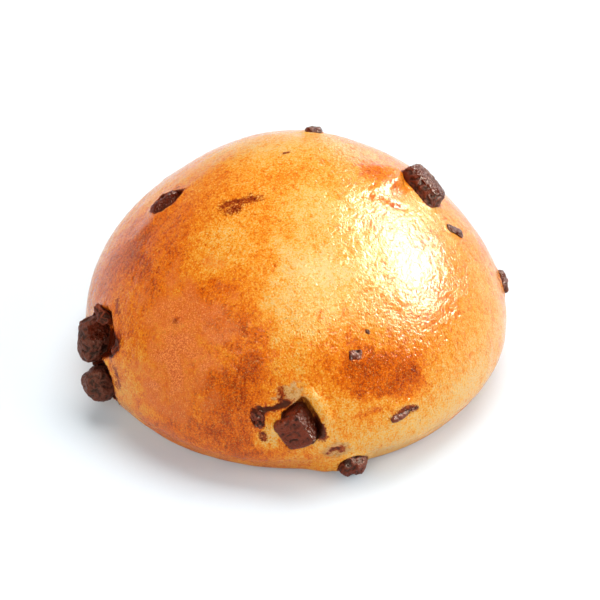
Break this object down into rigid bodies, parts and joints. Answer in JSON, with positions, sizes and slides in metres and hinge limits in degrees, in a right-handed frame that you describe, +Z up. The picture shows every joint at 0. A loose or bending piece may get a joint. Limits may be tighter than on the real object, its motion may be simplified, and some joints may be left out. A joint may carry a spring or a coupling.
{
  "type": "chocolate chunk bun",
  "caption": "Round, tall-domed sweet bun with a glossy golden crust and dark chocolate chunks breaking through it, flat underneath.",
  "frame": {"origin": "centre of the flat base the bun was baked on", "axes": "+Z up through the crown; the side with the largest chunk and its torn crust faces -Y; +X to the right of it"},
  "size_m": [0.1112, 0.1161, 0.062],
  "materials": {
    "crust": "egg-washed baked crust, golden yellow to orange brown, glossy and finely wrinkled; bread crumb inside",
    "chocolate": "dark chocolate, matte to glossy where it melted, pitted"
  },
  "bodies": {
    "root": {"bun": "crust", "chunk_front": "chocolate", "crumb_front_left": "chocolate", "chunk_front_rim": "chocolate", "chip_front_flat": "chocolate", "chunk_front_slit": "chocolate", "chunk_left_upper": "chocolate", "chunk_left_lower": "chocolate", "crumb_left_top": "chocolate", "crumb_left_inner": "chocolate", "chunk_upper_left": "chocolate", "chunk_upper_right": "chocolate", "chunk_crown_back": "chocolate", "chip_right_flake": "chocolate", "chunk_right_side": "chocolate", "chunk_back_right": "chocolate", "chunk_back_low": "chocolate", "chunk_back_high": "chocolate", "chunk_back_left": "chocolate", "chunk_back_slit": "chocolate", "chip_back_flake": "chocolate", "chunk_base_right": "chocolate", "chunk_base_left": "chocolate"}
  },
  "joints": []
}
